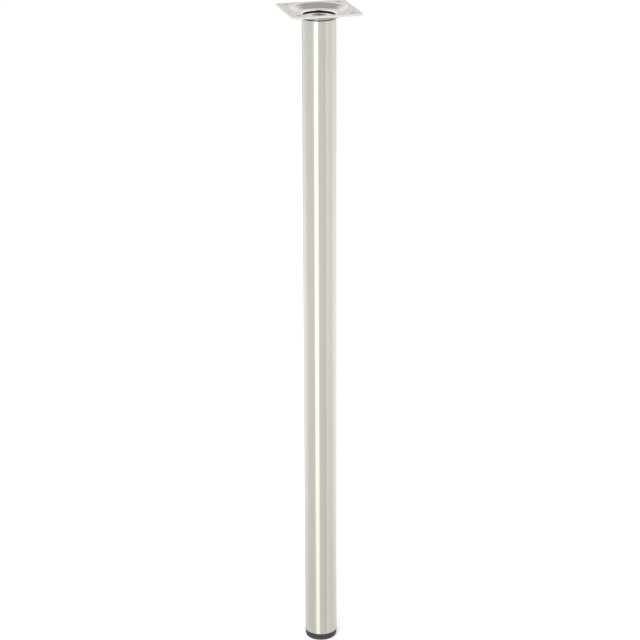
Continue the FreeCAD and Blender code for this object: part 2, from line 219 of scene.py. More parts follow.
class Finishes(PropertyGroup):
    """Tones of the finishes"""
    satin_light: tint("Satin steel, light", "Lighter tone of the ground tube", (0.685, 0.666, 0.610))
    satin_dark: tint("Satin steel, dark", "Darker tone of the ground tube", (0.655, 0.636, 0.578))
    # Painted shade: a near-black tone on the tube's upper edge, standing in for the shade under the plate
    edge_shade: tint("Unground edge", "Tone of the tube's edge that the belt misses", (0.10, 0.095, 0.085))
    plate_light: tint("Plated steel, light", "Lighter tone of the pressed plate", (0.717, 0.683, 0.634))
    plate_dark: tint("Plated steel, dark", "Darker tone of the pressed plate", (0.667, 0.633, 0.585))
    # Painted highlight: a near-white tone on the plate's cut edges and on the cup's rim and floor
    plate_highlight: tint("Plated steel, bright", "Tone of the plate's cut edges and cup", (0.96, 0.95, 0.93))
    # Painted shade: a near-black tone on the cup's inner wall and on its heel where it sits on the tube
    cup_shade: tint("Drawn wall", "Tone of the thinly plated wall of the cup", (0.02, 0.018, 0.015))
    zinc_light: tint("Zinc, light", "Lighter tone of the zinc coating", (0.56, 0.57, 0.58))
    zinc_dark: tint("Zinc, dark", "Darker tone of the zinc coating", (0.42, 0.43, 0.45))
    oiled_light: tint("Blackened steel, light", "Lighter tone of the blackened bolt", (0.12, 0.117, 0.112))
    oiled_dark: tint("Blackened steel, dark", "Darker tone of the blackened bolt", (0.06, 0.058, 0.055))
    black_light: tint("Black, light", "Lighter tone of the moulded plastic", (0.052, 0.052, 0.051))
    black_dark: tint("Black, dark", "Darker tone of the moulded plastic", (0.040, 0.040, 0.039))
    floor_light: tint("Floor, light", "Lighter tone of the floor", (0.81, 0.81, 0.81))
    floor_dark: tint("Floor, dark", "Darker tone of the floor", (0.79, 0.79, 0.79))


class StageSettings(PropertyGroup):
    """Camera, floor and light"""
    view_turn: turn_of("View turn", "How far round the leg the camera stands", -14.8)
    view_tilt: turn_of("View tilt", "How far down the camera looks", 20.746)
    view_roll: turn_of("View roll", "How far the camera leans over", -0.188)
    view_distance: length("View distance", "Distance of the camera from the leg's axis", 1.993)
    view_height: length("View height", "Height of the camera above the floor", 1.1314)
    view_lens: number("View lens", "Focal length of the camera in millimetres", 113.09, 1000.0)
    floor_size: length("Floor size", "Radius of the floor", 12.0)
    floor_lift: number("Floor lift", "Light that the camera alone sees on the floor", 0.40, 1.0)
    key_power: number("Key power", "Power of the lamp in watts", 40.0, 1000.0)
    ambient: number("Ambient", "Light from all round on matt surfaces", 0.75, 1.0)
    light_boxes: number("Light boxes", "Level mirrored from the boxes at the sides", 1.35, 2.0)


class LegSettings(PropertyGroup):
    """All sizes and tones of the leg"""
    tube: PointerProperty(type=TubeSizes)
    plate: PointerProperty(type=PlateSizes)
    fastener: PointerProperty(type=FastenerSizes)
    plug: PointerProperty(type=PlugSizes)
    foot: PointerProperty(type=FootSizes)
    finish: PointerProperty(type=Finishes)
    stage: PointerProperty(type=StageSettings)


def section(corners, closed=True, steps=8, ease=0.0003):
    """Points (radius, height) of a section through corners (radius, height, rounding).

    Each rounded corner is an arc between its two tangent points, swept as a weighted sum of the two
    spokes from the arc's middle: (sin((1-t)w) first + sin(tw) last) / sin(w), where w is the angle
    between them. Long straight runs get a point close to each end, so that shading stays even."""
    corner = np.array(corners, float)
    points = corner[:, :2]
    radii = corner[:, 2:]
    back = np.roll(points, 1, axis=0) - points
    ahead = np.roll(points, -1, axis=0) - points
    back = back / np.linalg.norm(back, axis=1, keepdims=True)
    ahead = ahead / np.linalg.norm(ahead, axis=1, keepdims=True)
    half = np.arccos(np.clip((back * ahead).sum(axis=1, keepdims=True), -1, 1)) / 2
    inward = back + ahead
    inward = inward / np.linalg.norm(inward, axis=1, keepdims=True)
    middle = points + inward * radii / np.sin(half)
    first = points + back * radii / np.tan(half) - middle
    last = points + ahead * radii / np.tan(half) - middle
    sweep = (np.pi - 2 * half)[:, None]
    t = np.linspace(0, 1, steps + 1)[None, :, None]
    arcs = (np.sin((1 - t) * sweep) * first[:, None] + np.sin(t * sweep) * last[:, None]) / np.sin(sweep)
    line = (middle[:, None] + arcs).reshape(-1, 2)
    fresh = np.linalg.norm(line - np.roll(line, 1, axis=0), axis=1) > SAME_POINT
    line = line[fresh]
    run = np.roll(line, -1, axis=0) - line
    reach = np.linalg.norm(run, axis=1, keepdims=True)
    spread = np.stack([line, line + run / reach * ease, line + run - run / reach * ease], axis=1)
    keep = np.repeat(reach > 4 * ease, 3, axis=1)
    keep[:, 0] = True
    if not closed:
        keep[-1, 1:] = False
    return spread.reshape(-1, 2)[keep.reshape(-1)]


def quads(rows, columns, close_rows, close_columns):
    """Corner numbers of the faces between neighbouring rows and columns of a grid."""
    across, down = np.arange(columns - (not close_columns)), np.arange(rows - (not close_rows))
    i, j = np.meshgrid(down, across, indexing="ij")
    below = (i + 1) % rows
    along = (j + 1) % columns
    faces = [i * columns + j, i * columns + along, below * columns + along, below * columns + j]
    return np.stack(faces, axis=-1).reshape(-1, 4)


def sheet(points, close_rows=False, close_columns=False):
    """A grid of points, rows by columns, as one skin of faces."""
    rows, columns = points.shape[:2]
    return points.reshape(-1, 3), quads(rows, columns, close_rows, close_columns)


def rings(radius, height, angle=ANGLES):
    """Rows of points round the leg's axis: (radius cos angle, radius sin angle, height)."""
    radius, height, angle = np.broadcast_arrays(radius, height, angle)
    return np.stack([radius * np.cos(angle), radius * np.sin(angle), height], axis=-1)


def turned(line, closed=True, count=ROUND):
    """A section carried once round the leg's axis."""
    angle = np.arange(count) * (2 * np.pi / count)
    return sheet(rings(line[:, :1], line[:, 1:], angle), closed, True)


def stack_rings(*blocks):
    """Rings of radius and height, each a number, a value for every angle or rows of these, in one grid."""
    rows = [np.broadcast_arrays(*map(np.atleast_2d, block), ANGLES) for block in blocks]
    radius, height, angle = (np.concatenate(part) for part in zip(*rows))
    return rings(radius, height, angle)


def hexagon(width, angle=ANGLES):
    """Radius of a hexagon with a corner at angle 0: half the width over the cosine of the angle to the
    middle of the nearest flat."""
    return 0.5 * width / np.cos(np.mod(angle, np.pi / 3) - np.pi / 6)


def thread_radius(height, sizes, angle=ANGLES):
    """Radius of a right-handed thread: outer radius less the groove, which deepens evenly with the
    distance from the crest line height = pitch * (angle / full turn + whole turns)."""
    turns = np.mod(height / sizes.pitch - angle / (2 * np.pi) + 0.5, 1.0)
    away = np.abs(turns - 0.5) * 2
    return 0.5 * sizes.thread - sizes.depth * np.clip((away - CREST) / FLANK, 0, 1)


def thread_rows(low, high, sizes):
    """Heights along a thread, in even steps counted from the floor, so that mating threads share them."""
    step = sizes.pitch / THREAD_STEPS
    return np.arange(math.ceil(low / step), math.floor(high / step) + 1)[:, None] * step


def bars(count, inner, outer, width, low, high):
    """Boxes that reach out from the axis, set evenly round it: eight corners each, turned by their
    place in the ring."""
    x, y, z = np.meshgrid([inner, outer], [-width / 2, width / 2], [low, high], indexing="ij")
    corner = np.stack([x, y, z], axis=-1).reshape(8, 3)
    angle = np.arange(count) * (2 * np.pi / count)
    zero = np.zeros(count)
    rows = [np.cos(angle), -np.sin(angle), zero, np.sin(angle), np.cos(angle), zero, zero, zero, zero + 1]
    spin = np.stack(rows, axis=-1).reshape(count, 3, 3)
    points = np.einsum("kij,nj->kni", spin, corner).reshape(-1, 3)
    face = np.array([[0, 1, 3, 2], [4, 6, 7, 5], [0, 4, 5, 1], [2, 3, 7, 6], [0, 2, 6, 4], [1, 5, 7, 3]])
    faces = (face[None] + 8 * np.arange(count)[:, None, None]).reshape(-1, 4)
    return points, faces


def build(name, skins, body, node, slot, crease=CREASE):
    """One closed mesh from several skins, welded where they meet, that stands for a solid."""
    starts = np.cumsum([0] + [len(points) for points, _ in skins[:-1]])
    points = np.concatenate([points for points, _ in skins])
    faces = np.concatenate([faces + start for (_, faces), start in zip(skins, starts)])
    mesh = bpy.data.meshes.new(name)
    mesh.from_pydata(points.tolist(), [], faces.tolist())
    work = bmesh.new()
    work.from_mesh(mesh)
    bmesh.ops.remove_doubles(work, verts=work.verts, dist=WELD)
    bmesh.ops.recalc_face_normals(work, faces=work.faces)
    open_edges = sum(not edge.is_manifold for edge in work.edges)
    work.to_mesh(mesh)
    work.free()
    if open_edges:
        raise RuntimeError(f"{name} is not closed: {open_edges} open edges")
    mesh.shade_smooth()
    mesh.set_sharp_from_angle(angle=math.radians(crease))
    made = bpy.data.objects.new(name, mesh)
    bpy.context.scene.collection.objects.link(made)
    mesh.materials.append(finish(slot))
    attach(made, body)
    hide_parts(node)
    return made


def add_node(tree, kind, values=None, **settings):
    """A node with its settings and inputs; an input given as a socket is linked."""
    made = tree.nodes.new(kind)
    for key, value in settings.items():
        setattr(made, key, value)
    for key, value in (values or {}).items():
        if isinstance(value, NodeSocket):
            tree.links.new(value, made.inputs[key])
        else:
            made.inputs[key].default_value = value
    return made


def blank_material(name):
    """A new material, its empty tree and the object's own coordinates."""
    material = bpy.data.materials.new(name)
    material.use_nodes = True
    tree = material.node_tree
    tree.nodes.clear()
    return material, tree, add_node(tree, "ShaderNodeTexCoord").outputs["Object"]


def calc(tree, operation, *values):
    """A number worked out from one, two or three others."""
    return add_node(tree, "ShaderNodeMath", dict(enumerate(values)), operation=operation).outputs[0]


def calc_vector(tree, operation, *values):
    """A vector or a number worked out from one or two vectors."""
    made = add_node(tree, "ShaderNodeVectorMath", dict(enumerate(values)), operation=operation)
    return next(socket for socket in made.outputs if socket.enabled)


def axes_of(tree, vector):
    """The three parts of a vector, by the names of their axes."""
    return add_node(tree, "ShaderNodeSeparateXYZ", {0: vector}).outputs


def mixed(tree, part, first, second):
    """Two numbers mixed by a third."""
    return add_node(tree, "ShaderNodeMix", {0: part, 2: first, 3: second}).outputs[0]


def toned(tree, mask, colour, tone):
    """A colour that gives way to another tone by a mask."""
    values = {0: mask, 6: colour, 7: (*tone, 1.0)}
    return add_node(tree, "ShaderNodeMix", values, data_type="RGBA").outputs[2]


def grain(tree, place, scale, detail=4.0, rough=0.6):
    """Noise at a scale per metre along each axis."""
    spread = add_node(tree, "ShaderNodeMapping", {"Vector": place, "Scale": scale}).outputs["Vector"]
    values = {"Vector": spread, "Scale": 1.0, "Detail": detail, "Roughness": rough}
    return add_node(tree, "ShaderNodeTexNoise", values).outputs["Fac"]


def spread_range(tree, value, low, high, to_low, to_high):
    """A value carried from one range to another."""
    values = {"Value": value, "From Min": low, "From Max": high, "To Min": to_low, "To Max": to_high}
    return add_node(tree, "ShaderNodeMapRange", values).outputs["Result"]


def fade(tree, value, band, start=0.0, unit=1.0, most=1.0):
    """A mask from 0 to its most over a band of a value, counted from a start in a unit."""
    none, full = (start + unit * place for place in band)
    return spread_range(tree, value, none, full, 0.0, most)


def two_tone(tree, value, low, high, dark, light):
    """A blend of two colours that follows a value from low to high."""
    ramp = add_node(tree, "ShaderNodeValToRGB", {"Fac": value})
    stops = ((low, dark), (high, light))
    for held, (position, colour) in zip(ramp.color_ramp.elements, stops):
        held.position = position
        held.color = (*colour, 1.0)
    return ramp.outputs["Color"]


def dress(tree, colour, rough, bumps, metal=1.0, more=None):
    """The shader of a material, with bumps (height, strength, distance) each laid on the one before."""
    normal = {}
    for height, strength, distance in bumps:
        values = {"Height": height, "Strength": strength, "Distance": distance, **normal}
        normal = {"Normal": add_node(tree, "ShaderNodeBump", values).outputs["Normal"]}
    values = {"Base Color": colour, "Metallic": metal, "Roughness": rough, **normal, **(more or {})}
    shader = add_node(tree, "ShaderNodeBsdfPrincipled", values).outputs["BSDF"]
    add_node(tree, "ShaderNodeOutputMaterial", {"Surface": shader})


def satin_steel(name, settings):
    """Steel ground round the tube: fine rings that smear reflections along it, with a faint cloudy tone,
    and a painted shade on the eased upper edge, where the tube meets the plate."""
    material, tree, place = blank_material(name)
    colours, edge = settings.finish, settings.tube.upper_edge
    fine = grain(tree, place, (30.0, 30.0, 5200.0))
    cloud = grain(tree, place, (14.0, 14.0, 5.0), 3.0)
    tone = spread_range(tree, calc(tree, "ADD", fine, cloud), 0.7, 1.3, 0.0, 1.0)
    colour = two_tone(tree, tone, 0.0, 1.0, colours.satin_dark, colours.satin_light)
    # Painted shade: the tube darkens towards its top edge, standing in for the shade where the plate meets
    # it
    edge_shade = fade(tree, axes_of(tree, place)["Z"], EDGE_SHADE_BAND, BOXES["leg_tube"][1][2], edge)
    colour = toned(tree, edge_shade, colour, colours.edge_shade)
    rough = spread_range(tree, fine, 0.3, 0.7, 0.18, 0.22)
    tangent = add_node(tree, "ShaderNodeTangent", direction_type="RADIAL", axis="Z").outputs["Tangent"]
    dress(tree, colour, rough, [(fine, 0.05, 0.00004)],
          more={"Anisotropic": 0.85, "Anisotropic Rotation": 0.25, "Tangent": tangent})
    return material


def plate_masks(tree, place, sizes):
    """Masks of the plate's finish: its outer cut edges between the two faces, which get more roughness and
    a painted highlight; the cup with its rim, a painted highlight; and the cup's drawn wall and the heel
    under it, a painted shade."""
    low, high = BOXES["mounting_plate"]
    height = axes_of(tree, place)["Z"]
    flat = calc_vector(tree, "MULTIPLY", place, (1.0, 1.0, 0.0))
    radius = calc_vector(tree, "LENGTH", flat)
    across = axes_of(tree, calc_vector(tree, "ABSOLUTE", flat))
    reach = calc(tree, "MAXIMUM", across["X"], across["Y"])
    depth = calc(tree, "ABSOLUTE", calc(tree, "SUBTRACT", height, high[2] - sizes.sheet / 2))
    faces = fade(tree, depth, CUT_FACES, unit=sizes.sheet)
    cut = calc(tree, "MULTIPLY", faces, fade(tree, reach, CUT_SIDES, high[0]))
    cup_inside = BOXES["leg_tube"][1][0] - sizes.cup_wall
    # Painted highlight: the cup's rim, wall and floor inward of this band take the near-white tone
    rim_highlight = fade(tree, radius, RIM_HIGHLIGHT_BAND, cup_inside + sizes.cup_rim)
    # Painted shade on the cup's inner wall, and on its heel where it sits on the tube
    off_wall = calc(tree, "ABSOLUTE", calc(tree, "SUBTRACT", radius, cup_inside))
    above = fade(tree, height, WALL_FLOOR, low[2] + sizes.sheet)
    wall = calc(tree, "MULTIPLY", fade(tree, off_wall, WALL_SIDES), above)
    rise = fade(tree, height, HEEL_RISE, low[2], sizes.cup_heel)
    heel = calc(tree, "MULTIPLY", rise, fade(tree, radius, HEEL_SIDE, cup_inside, most=HEEL_SHADE_MOST))
    return cut, rim_highlight, calc(tree, "MAXIMUM", wall, heel)


def plated_steel(name, settings):
    """Smooth bright plating over pressed sheet, with a slight waviness and faint specks; rougher where the
    sheet was cut, with a painted highlight on the cut edges and the cup's rim and floor, and a painted
    shade on the cup's drawn wall and heel."""
    material, tree, place = blank_material(name)
    colours = settings.finish
    wave = grain(tree, place, (160.0, 160.0, 160.0), 2.0)
    speck = grain(tree, place, (2600.0, 2600.0, 2600.0), 3.0)
    tone = spread_range(tree, calc(tree, "ADD", wave, speck), 0.7, 1.3, 0.0, 1.0)
    colour = two_tone(tree, tone, 0.0, 1.0, colours.plate_dark, colours.plate_light)
    cut, rim_highlight, drawn = plate_masks(tree, place, settings.plate)
    # Painted highlight: near-white on the cut edges and on the cup's rim and floor
    colour = toned(tree, cut, colour, colours.plate_highlight)
    colour = toned(tree, rim_highlight, colour, colours.plate_highlight)
    # Painted shade: near-black on the cup's drawn wall and on its heel
    colour = toned(tree, drawn, colour, colours.cup_shade)
    rough = mixed(tree, cut, spread_range(tree, speck, 0.3, 0.7, 0.10, 0.16), CUT_ROUGH)
    dress(tree, colour, rough, [(wave, 0.05, 0.0004), (speck, 0.05, 0.00004)])
    return material


def zinc_steel(name, settings):
    """Zinc coating: small crystals of slightly different tone and gloss."""
    material, tree, place = blank_material(name)
    colours = settings.finish
    cells = add_node(tree, "ShaderNodeTexVoronoi", {"Vector": place, "Scale": 1400.0}).outputs["Color"]
    crystal = add_node(tree, "ShaderNodeSeparateColor", {"Color": cells}).outputs["Red"]
    fine = grain(tree, place, (3500.0, 3500.0, 3500.0), 3.0)
    colour = two_tone(tree, crystal, 0.0, 1.0, colours.zinc_dark, colours.zinc_light)
    rough = spread_range(tree, crystal, 0.0, 1.0, 0.27, 0.40)
    dress(tree, colour, rough, [(fine, 0.12, 0.00004)])
    return material


def black_steel(name, settings):
    """Blackened and oiled steel: a dark skin with cloudy patches of thinner colour."""
    material, tree, place = blank_material(name)
    colours = settings.finish
    cloud = grain(tree, place, (420.0, 420.0, 420.0), 3.0)
    fine = grain(tree, place, (3200.0, 3200.0, 3200.0), 3.0)
    colour = two_tone(tree, cloud, 0.3, 0.7, colours.oiled_dark, colours.oiled_light)
    rough = spread_range(tree, cloud, 0.3, 0.7, 0.28, 0.40)
    dress(tree, colour, rough, [(fine, 0.10, 0.00004)])
    return material


def black_plastic(name, settings):
    """Moulded black plastic with the fine matt grain of its mould."""
    material, tree, place = blank_material(name)
    colours = settings.finish
    skin = grain(tree, place, (2400.0, 2400.0, 2400.0), 3.0)
    scuff = grain(tree, place, (220.0, 220.0, 420.0), 4.0)
    colour = two_tone(tree, scuff, 0.3, 0.7, colours.black_dark, colours.black_light)
    rough = spread_range(tree, scuff, 0.3, 0.7, 0.40, 0.52)
    dress(tree, colour, rough, [(skin, 0.25, 0.00006)], metal=0.0)
    return material


MAKERS = {
    "satin_steel": satin_steel,
    "plated_steel": plated_steel,
    "zinc_steel": zinc_steel,
    "black_steel": black_steel,
    "black_plastic": black_plastic,
}


def finish(slot):
    """The material of a slot, made the first time it is asked for."""
    name = f"finish_{slot}"
    return bpy.data.materials.get(name) or MAKERS[slot](name, bpy.context.scene.table_leg)


class TABLELEG_OT_tube(Operator):
    """Turn the round tube with its eased upper edge"""
    bl_idname = "table_leg.tube"
    bl_label = "Round tube"

    def execute(self, context):
        sizes = context.scene.table_leg.tube
        low, high = BOXES["leg_tube"]
        radius = high[0]
        bore = radius - sizes.wall
        line = section([
            (bore, low[2], sizes.lower_edge),
            (radius, low[2], sizes.lower_edge),
            (radius, high[2], sizes.upper_edge),
            (bore, high[2], sizes.lower_edge),
        ])
        build("round_tube", [turned(line, count=TUBE_ROUND)], "leg", "leg_tube", "satin_steel")
        return {"FINISHED"}


def rim_corner(half, corner, flat_radius):
    """Edge of the rim's piece round one screw hole, as an inner arc of the dish and an outer line:
    up one side of the square, round its corner and down the next."""
    a = np.radians(np.arange(SIDE_ANGLE, 90 - SIDE_ANGLE + STEP / 2, STEP))
    arc = flat_radius * np.stack([np.cos(a), np.sin(a)], axis=-1)
    start = half * math.tan(math.radians(SIDE_ANGLE))
    run = np.linspace(start, half - corner, SIDE_POINTS)
    b = np.radians(np.linspace(90, 0, CORNER_POINTS))[1:-1]
    bend = half - corner + corner * np.stack([np.cos(b), np.sin(b)], axis=-1)
    side = np.full_like(run, half)
    up, down = np.stack([run, side], axis=-1), np.stack([side, run[::-1]], axis=-1)
    return arc, np.concatenate([up, bend, down])


def four_times(points):
    """A grid of plan points repeated at each quarter turn."""
    x, y = points[..., 0], points[..., 1]
    return [np.stack(pair, axis=-1) for pair in ((x, y), (-y, x), (-x, -y), (y, -x))]


def at_height(points, height):
    """Plan points set at a height, or at one height for each row."""
    height = np.broadcast_to(np.reshape(height, (-1, 1)), points.shape[:2])
    return np.concatenate([points, height[..., None]], axis=-1)


def plate_section(plate, bolt, flat_radius):
    """Section of the plate's turned part: from the flat rim's upper face down the dish, into the cup, over
    the bolt's seat, and back below to the rim's under face."""
    base, top = BOXES["mounting_plate"][:, 2]
    tube_radius = BOXES["leg_tube"][1][0]
    cup_inside = tube_radius - plate.cup_wall
    run = plate.dish_mouth - plate.dish_floor
    shift = plate.sheet * (math.hypot(run, plate.dish_depth) - run) / plate.dish_depth
    outer_bend = plate.dish_bend + plate.sheet
    cup_top = base + plate.cup_depth + plate.sheet
    seat = bolt.bolt_head / 2 + bolt.bolt_edge
    under = top - plate.sheet
    return section([
        (flat_radius, top, 0.0),
        (plate.dish_mouth, top, outer_bend),
        (plate.dish_floor, cup_top, plate.dish_bend),
        (cup_inside, cup_top, plate.cup_rim),
        (cup_inside, base + plate.sheet, plate.cup_floor),
        (seat, base + plate.sheet, 0.0),
        (seat - plate.sheet, base, 0.0),
        (tube_radius, base, plate.cup_heel),
        (tube_radius, base + plate.cup_depth, 0.0),
        (plate.dish_floor + shift, base + plate.cup_depth, outer_bend),
        (plate.dish_mouth + shift, under, plate.dish_bend),
        (flat_radius, under, 0.0),
    ], closed=False)


def rim_skins(plate, flat_radius):
    """The flat rim between the dish and the sides of the square: four pierced corners and the straight
    pieces between them, each with its two faces and its walls."""
    half, top = BOXES["mounting_plate"][1][[0, 2]]
    heights = [top, top - plate.sheet]
    arc, outer = rim_corner(half, plate.corner, flat_radius)
    edge = np.concatenate([arc, outer])
    middle = half - plate.screw_inset
    spoke = edge - middle
    pierced = middle + plate.screw_hole / 2 * spoke / np.linalg.norm(spoke, axis=1, keepdims=True)
    a = np.radians(np.arange(-SIDE_ANGLE, SIDE_ANGLE + STEP / 2, STEP))
    near = flat_radius * np.stack([np.cos(a), np.sin(a)], axis=-1)
    far = half * np.stack([np.ones_like(a), np.tan(a)], axis=-1)
    skins = []
    for piece in four_times(np.stack([pierced, edge])):
        skins += [sheet(at_height(piece, height), close_columns=True) for height in heights]
        skins.append(sheet(at_height(piece[[0, 0]], heights), close_columns=True))
    for piece in four_times(np.stack([near, far])):
        skins += [sheet(at_height(piece, height)) for height in heights]
        skins.append(sheet(at_height(piece[[1, 1]], heights)))
    for piece in four_times(np.stack([outer, outer])):
        skins.append(sheet(at_height(piece, heights)))
    return skins


class TABLELEG_OT_plate(Operator):
    """Press the square plate with its dish, cup and pierced rim"""
    bl_idname = "table_leg.plate"
    bl_label = "Pressed plate"

    def execute(self, context):
        settings = context.scene.table_leg
        flat_radius = settings.plate.dish_mouth + TURNED_RIM
        line = plate_section(settings.plate, settings.fastener, flat_radius)
        skins = [turned(line, closed=False), *rim_skins(settings.plate, flat_radius)]
        made = build("pressed_plate", skins, "leg", "mounting_plate", "plated_steel")
        ease = made.modifiers.new("eased_edges", "BEVEL")
        ease.width = settings.plate.burr
        ease.segments = 2
        ease.limit_method = "ANGLE"
        ease.angle_limit = math.radians(55)
        ease.harden_normals = True
        return {"FINISHED"}


class TABLELEG_OT_disc(Operator):
    """Coat the threaded disc in the tube's upper end"""
    bl_idname = "table_leg.disc"
    bl_label = "Threaded disc"

    def execute(self, context):
        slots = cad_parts["top_disc"].material_slots
        if not slots:
            raise RuntimeError("top_disc has no material slot")
        for held in slots:
            held.material = finish("zinc_steel")
        return {"FINISHED"}


def chamfered(width, face, inwards):
    """Height of the edge where a hexagon's sides meet the 30 degree cone that eases one end: the end face
    less the tangent of 30 degrees times the distance from the flat face's circle."""
    return face - inwards * (hexagon(width) - NUT_FACE * width) * NUT_SLOPE


class TABLELEG_OT_bolt(Operator):
    """Forge the countersunk bolt with its socket and rolled thread"""
    bl_idname = "table_leg.bolt"
    bl_label = "Countersunk bolt"

    def execute(self, context):
        sizes = context.scene.table_leg.fastener
        low, high = BOXES["plate_bolt"][:, 2]
        core = sizes.thread / 2
        head = sizes.bolt_head / 2
        cone_top = high - sizes.bolt_edge
        cone_base = cone_top - (head - core)
        height = thread_rows(low + sizes.tip / 4, cone_base - 2 * RUN_OUT, sizes)
        tip = core - sizes.tip + (height - low)
        side = np.minimum(thread_radius(height, sizes), tip)
        socket = hexagon(sizes.socket)
        points = stack_rings(
            (0.0, low),
            (core - sizes.tip, low),
            (side, height),
            (core, cone_base - RUN_OUT),
            (core, cone_base),
            (head, cone_top),
            (head, high),
            (socket + sizes.socket_edge, high),
            (socket, high - sizes.socket_edge),
            (socket, high - sizes.socket_depth),
            (0.0, high - sizes.socket_depth),
        )
        skins = [sheet(points, close_columns=True)]
        build("countersunk_bolt", skins, "leg", "plate_bolt", "black_steel", THREAD_CREASE)
        return {"FINISHED"}


class TABLELEG_OT_plug(Operator):
    """Mould the ribbed plug with its flange, boss, webs and nut pocket"""
    bl_idname = "table_leg.plug"
    bl_label = "Tube plug"

    def execute(self, context):
        sizes = context.scene.table_leg.plug
        width = context.scene.table_leg.fastener.width
        low, high = BOXES["end_plug"]
        nut_low, nut_high = BOXES["plug_nut"][:, 2]
        flange = low[2] + sizes.flange
        boss = nut_high + sizes.shoulder
        inside = sizes.shank - sizes.wall
        line = section([
            (sizes.recess, nut_low, 0.0),
            (sizes.recess, low[2], SMALL_EDGE),
            (high[0], low[2], sizes.edge),
            (high[0], flange, 0.0),
            (sizes.shank, flange, 0.0),
            (sizes.shank, high[2], sizes.tip),
            (inside, high[2], SMALL_EDGE),
            (inside, flange, 0.0),
            (sizes.boss, flange, 0.0),
            (sizes.boss, boss, SMALL_EDGE),
            (sizes.stud_hole, boss, SMALL_EDGE),
            (sizes.stud_hole, nut_high, 0.0),
        ], closed=False)
        pocket = hexagon(width + 2 * sizes.pocket_play)
        points = stack_rings((line[:, :1], line[:, 1:]), (pocket, nut_high), (pocket, nut_low))
        skins = [sheet(points, close_rows=True, close_columns=True)]
        root = sizes.wall / 2
        top = high[2] - 2 * sizes.tip
        skins.append(bars(RIBS, sizes.shank - root, sizes.rib_reach, sizes.rib_width, flange, top))
        skins.append(bars(WEBS, sizes.boss - root, inside + root, sizes.rib_width, flange - root, boss))
        build("tube_plug", skins, "leg", "end_plug", "black_plastic")
        return {"FINISHED"}


class TABLELEG_OT_nut(Operator):
    """Cut the nut that is caught in the plug"""
    bl_idname = "table_leg.nut"
    bl_label = "Plug nut"

    def execute(self, context):
        sizes = context.scene.table_leg.fastener
        low, high = BOXES["plug_nut"][:, 2]
        height = thread_rows(low + sizes.play, high - sizes.play, sizes)
        mouth = sizes.thread / 2 + NUT_MOUTH
        cone = mouth - np.minimum(height - low, high - height)
        bore = np.maximum(thread_radius(height, sizes) + sizes.play, cone)
        face = NUT_FACE * sizes.width
        across = hexagon(sizes.width)
        points = stack_rings(
            (mouth, low),
            (bore, height),
            (mouth, high),
            (face, high),
            (across, chamfered(sizes.width, high, 1)),
            (across, chamfered(sizes.width, low, -1)),
            (face, low),
        )
        skins = [sheet(points, close_rows=True, close_columns=True)]
        build("plug_nut_threaded", skins, "leg", "plug_nut", "zinc_steel", THREAD_CREASE)
        return {"FINISHED"}


class TABLELEG_OT_stud(Operator):
    """Roll the stud on which the foot screws in and out"""
    bl_idname = "table_leg.stud"
    bl_label = "Foot stud"

    def execute(self, context):
        sizes = context.scene.table_leg.fastener
        low, high = BOXES["foot_stud"][:, 2]
        hub = BOXES["foot_disc"][1][2]
        core = sizes.thread / 2
        head = sizes.stud_head / 2
        neck = low + sizes.stud_head_height
        height = thread_rows(hub - RUN_OUT, high - sizes.tip / 4, sizes)
        cone = core - sizes.tip + (high - height)
        side = np.minimum(thread_radius(height, sizes), cone)
        points = stack_rings(
            (0.0, low),
            (head, low),
            (head, neck),
            (core, neck),
            (core, hub - 2 * RUN_OUT),
            (side, height),
            (core - sizes.tip, high),
            (0.0, high),
        )
        skins = [sheet(points, close_columns=True)]
        build("threaded_stud", skins, "stud", "foot_stud", "zinc_steel", THREAD_CREASE)
        return {"FINISHED"}


class TABLELEG_OT_foot(Operator):
    """Mould the foot's disc with its hub and recessed underside"""
    bl_idname = "table_leg.foot"
    bl_label = "Levelling foot"

    def execute(self, context):
        sizes = context.scene.table_leg.foot
        fastener = context.scene.table_leg.fastener
        low, high = BOXES["foot_disc"]
        stud_low = BOXES["foot_stud"][0][2]
        rim = high[0]
        stud = fastener.thread / 2 + sizes.play
        socket = fastener.stud_head / 2 + sizes.play
        roof = stud_low + fastener.stud_head_height + sizes.play
        line = section([
            (0.0, low[2] + sizes.recess_depth, 0.0),
            (sizes.recess, low[2] + sizes.recess_depth, RECESS_EDGE),
            (sizes.recess, low[2], RECESS_EDGE),
            (rim, low[2], sizes.edge),
            (rim, low[2] + sizes.height, sizes.shoulder),
            (sizes.hub, low[2] + sizes.height, SMALL_EDGE),
            (sizes.hub, high[2], SMALL_EDGE),
            (stud, high[2], HOLE_EDGE),
            (stud, roof, 0.0),
            (socket, roof, 0.0),
            (socket, stud_low - sizes.play, 0.0),
            (0.0, stud_low - sizes.play, 0.0),
        ], closed=False)
        skins = [turned(line, closed=False, count=FOOT_ROUND)]
        build("levelling_foot", skins, "foot", "foot_disc", "black_plastic")
        return {"FINISHED"}


def levels(tree, place, stops):
    """A level that runs straight between stops (place from 0 to 1, level from 0 to the top level)."""
    ramp = add_node(tree, "ShaderNodeValToRGB", {"Fac": place})
    elements = ramp.color_ramp.elements
    elements[0].position, elements[1].position = stops[0][0], stops[-1][0]
    for position, _ in stops[1:-1]:
        elements.new(position)
    for held, (_, level) in zip(elements, stops):
        held.color = (level / TOP_LEVEL, level / TOP_LEVEL, level / TOP_LEVEL, 1.0)
    return calc(tree, "MULTIPLY", ramp.outputs["Color"], TOP_LEVEL)


def by_turn(tree, around, stops):
    """A level given at angles from the camera, seen from above, in degrees to the right."""
    return levels(tree, around, [(degrees / 360 + 0.5, level) for degrees, level in stops])


def by_rise(tree, rise, stops):
    """A level given at angles above the horizon, in degrees."""
    places = [(math.sin(math.radians(degrees)) / 2 + 0.5, level) for degrees, level in stops]
    return levels(tree, rise, places)


